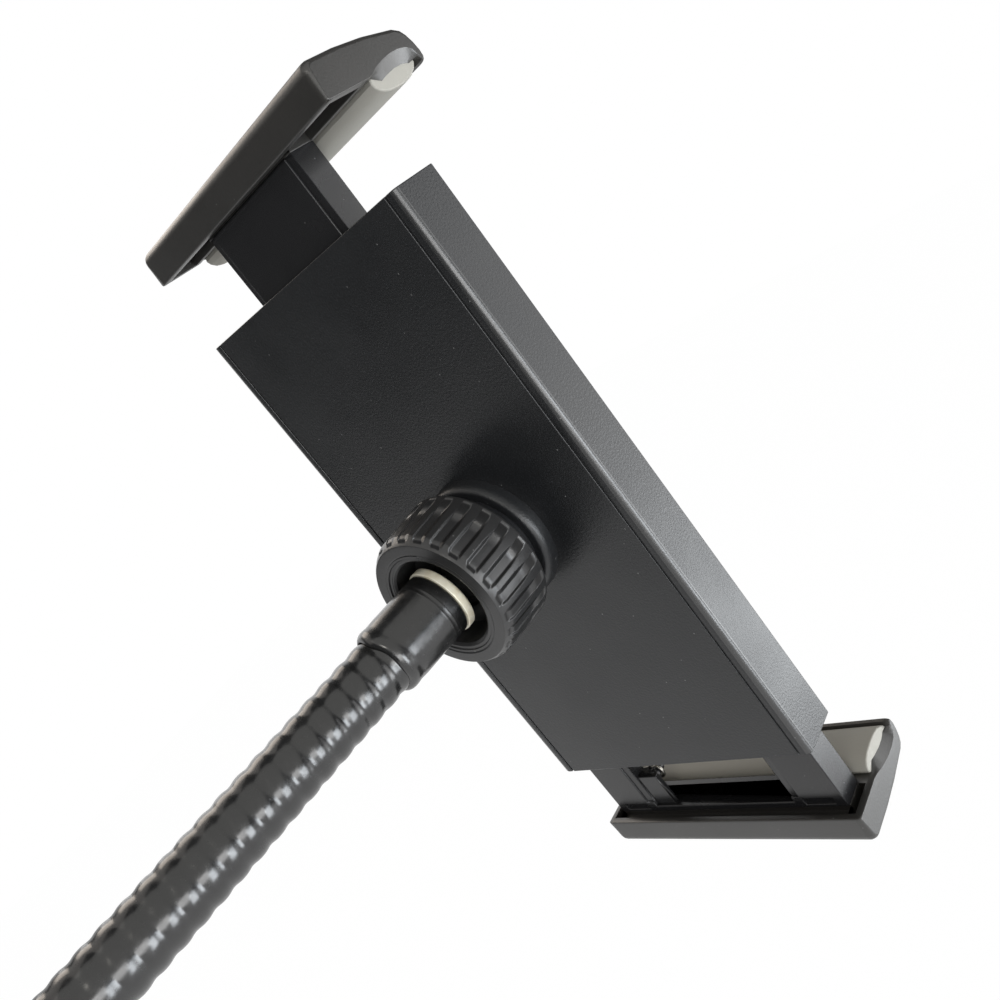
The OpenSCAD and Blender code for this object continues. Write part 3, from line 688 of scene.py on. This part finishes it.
def sleeve_mesh():
    """The tube from the collar, at the top, to its shrunk end, which runs in slow waves."""
    bm = turned(((6.6, -9.85), (6.95, -9.87), (7.1, -10.0), (7.15, -10.3), (7.15, -12.2),
                 (7.17, -12.4), (7.17, -12.6), (7.15, -12.8), (7.15, -13.2), (7.17, -13.4),
                 (7.17, -13.6), (7.15, -13.8), (7.13, -18), (7.12, -21.5), (7.08, -22.8),
                 (7.05, -23.4), (7.1, -24.0), (7.17, -24.6), (7.18, -25.1), (7.08, -25.6),
                 (6.85, -26.05), (6.5, -26.4), (6.25, -26.55), (6.08, -26.58), (6.05, -26.4),
                 (6.05, -24)), steps=96)
    for v in bm.verts:
        turn_at = np.arctan2(v.co.y, v.co.x)
        share = min(max((-v.co.z - 21) / 4, 0), 1)
        v.co.z += share * (0.35 * sin(2 * turn_at + 0.6) + 0.14 * sin(5 * turn_at) + 0.25)
        v.co.xy *= 1 - 0.006 * share * (1 + sin(3 * turn_at + 1))
    return bm


finish_piece(sleeve_mesh(), "top_shrink", shrink_black, neck @ upper_tilt, "neck_top",
             ["top_sleeve"], crease=60)
base_place = Matrix.Translation((0, -0.0079, 0)) @ millimetre @ Matrix.Rotation(
    radians(90), 4, "X")
finish_piece(sleeve_mesh(), "base_shrink", shrink_black, base_place, "base",
             ["base_sleeve"], crease=60)

# Gooseneck hose: a steel coil wound with a wedge wire that holds any bend, under glossy black
# shrink tube. Its round turns stand out in a spiral. It runs in one skin from sleeve to sleeve, in
# four lengths laid along the neck's line, which bends within the last three of them.
crest_r, rib, rib_power, pitch = 6.1, 0.26, 1.5, 4.2
round_steps, rib_points = 40, 14
# the path runs from the ball's centre to the base stud's shoulder; the neck bends at the knots
path_end = 266.3
cuts = (25.8, 84.6, 135.0, 185.4, path_end - 17.8)
covered = (("hose_1",), ("hose_2",), ("hose_3",), ("hose_4", "hose_5"))
hose_black = glossy_tube("hose_black", roughness=0.17, ripple=0.00002)


def bend_table():
    """The neck's centre line below the ball: place and lean at every half millimetre."""
    s = np.arange(0, path_end + 0.25, 0.5)
    lean = np.interp(s, (0, 97.8, 121.8, 148.2, 172.2, 198.6, 222.6, 300),
                     np.radians((11.06, 11.06, 7.373, 7.373, 3.687, 3.687, 0, 0)))
    x = np.concatenate(((0,), np.cumsum(np.sin((lean[1:] + lean[:-1]) / 2) * 0.5)))
    z = np.concatenate(((0,), np.cumsum(-np.cos((lean[1:] + lean[:-1]) / 2) * 0.5)))
    return s, lean, x, z


line_s, line_lean, line_x, line_z = bend_table()


def hose_mesh(first, last):
    """Spun with a lift of one pitch a turn, cut square at both ends, then laid on the line."""
    turns = int((last - first) / pitch) + 3
    top = -(int(first / pitch) - 1) * pitch
    bm = bmesh.new()
    points = []
    for i in range(turns * rib_points + 1):
        u = (i % rib_points) / rib_points
        r = crest_r - rib * (0.5 + 0.5 * cos(2 * pi * u)) ** rib_power
        points.append(bm.verts.new((r, 0, top - i * pitch / rib_points)))
    edges = [bm.edges.new(pair) for pair in zip(points, points[1:])]
    bmesh.ops.spin(bm, geom=points + edges, cent=(0, 0, 0), axis=(0, 0, 1), angle=2 * pi,
                   steps=round_steps, dvec=(0, 0, -pitch / round_steps))
    bmesh.ops.remove_doubles(bm, verts=bm.verts, dist=0.002)
    for at, side in ((first, 1), (last, -1)):
        everything = bm.verts[:] + bm.edges[:] + bm.faces[:]
        bmesh.ops.bisect_plane(bm, geom=everything, plane_co=(0, 0, -at), plane_no=(0, 0, side),
                               clear_outer=True, dist=0.0001)
    for v in bm.verts:
        s = -v.co.z
        lean = np.interp(s, line_s, line_lean)
        x, z = np.interp(s, line_s, line_x), np.interp(s, line_s, line_z)
        v.co = (x + v.co.x * cos(lean), v.co.y, z + v.co.x * sin(lean))
    return bm


for k in range(4):
    skin = finish_piece(hose_mesh(cuts[k], cuts[k + 1]), f"hose_skin_{k + 1}", hose_black, neck,
                        None, covered[k], crease=60)
    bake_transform(skin)

# Base stud: turned steel with a plated collar against the sleeve and a rolled M10 thread, which
# screws into a holder.
stud_length, thread_pitch, thread_r, thread_depth = 20, 1.5, 5.0, 0.9
inside_thread, outside_thread, tip_chamfer, tip_slope = 3.9, 5.05, 1.2, 0.9


def stud_mesh():
    """The collar by turning, then the thread as a spun profile that is cut off at both ends."""
    bm = turned(((0, 5.0), (3.4, 5.0), (3.4, 1.9), (7.2, 1.9), (7.45, 1.65), (7.45, 0.25), (7.2, 0),
                 (4.0, 0)), steps=64)
    turns = int(stud_length / thread_pitch) + 2
    points = []
    for i in range(turns * 6 + 1):
        u = (i % 6) / 6
        r = thread_r - thread_depth * min(1, max(0, abs(2 * u - 1) * 1.25 - 0.2))
        points.append(bm.verts.new((r, 0, thread_pitch - i * thread_pitch / 6)))
    edges = [bm.edges.new(pair) for pair in zip(points, points[1:])]
    bmesh.ops.spin(bm, geom=points + edges, cent=(0, 0, 0), axis=(0, 0, 1), angle=2 * pi,
                   steps=48, dvec=(0, 0, -thread_pitch / 48))
    bmesh.ops.remove_doubles(bm, verts=bm.verts, dist=0.002)
    for at, side in ((0.0, 1), (stud_length, -1)):
        thread = [v for v in bm.verts if inside_thread < v.co.xy.length < outside_thread]
        near = set(thread)
        geom = thread + [e for e in bm.edges if all(v in near for v in e.verts)] \
            + [f for f in bm.faces if all(v in near for v in f.verts)]
        bmesh.ops.bisect_plane(bm, geom=geom, plane_co=(0, 0, -at), plane_no=(0, 0, side),
                               clear_outer=True, dist=0.0001)
    for v in bm.verts:
        if v.co.z < -stud_length + tip_chamfer and v.co.xy.length > inside_thread:
            most = thread_r - (tip_chamfer - (v.co.z + stud_length)) * tip_slope
            if v.co.xy.length > most:
                v.co.xy *= most / v.co.xy.length
    tip = [e for e in bm.edges
           if e.is_boundary and all(v.co.z < -stud_length + 0.01 for v in e.verts)]
    bmesh.ops.holes_fill(bm, edges=tip, sides=0)
    return bm


bright_zinc = plated_steel("bright_zinc", (0.62, 0.62, 0.6), (0.42, 0.41, 0.38), roughness=0.28,
                           scratch=2600)
stud_place = millimetre @ Matrix.Rotation(radians(-90), 4, "X")
finish_piece(stud_mesh(), "foot_stud", bright_zinc, stud_place, "base",
             ["base_stud"], crease=40)
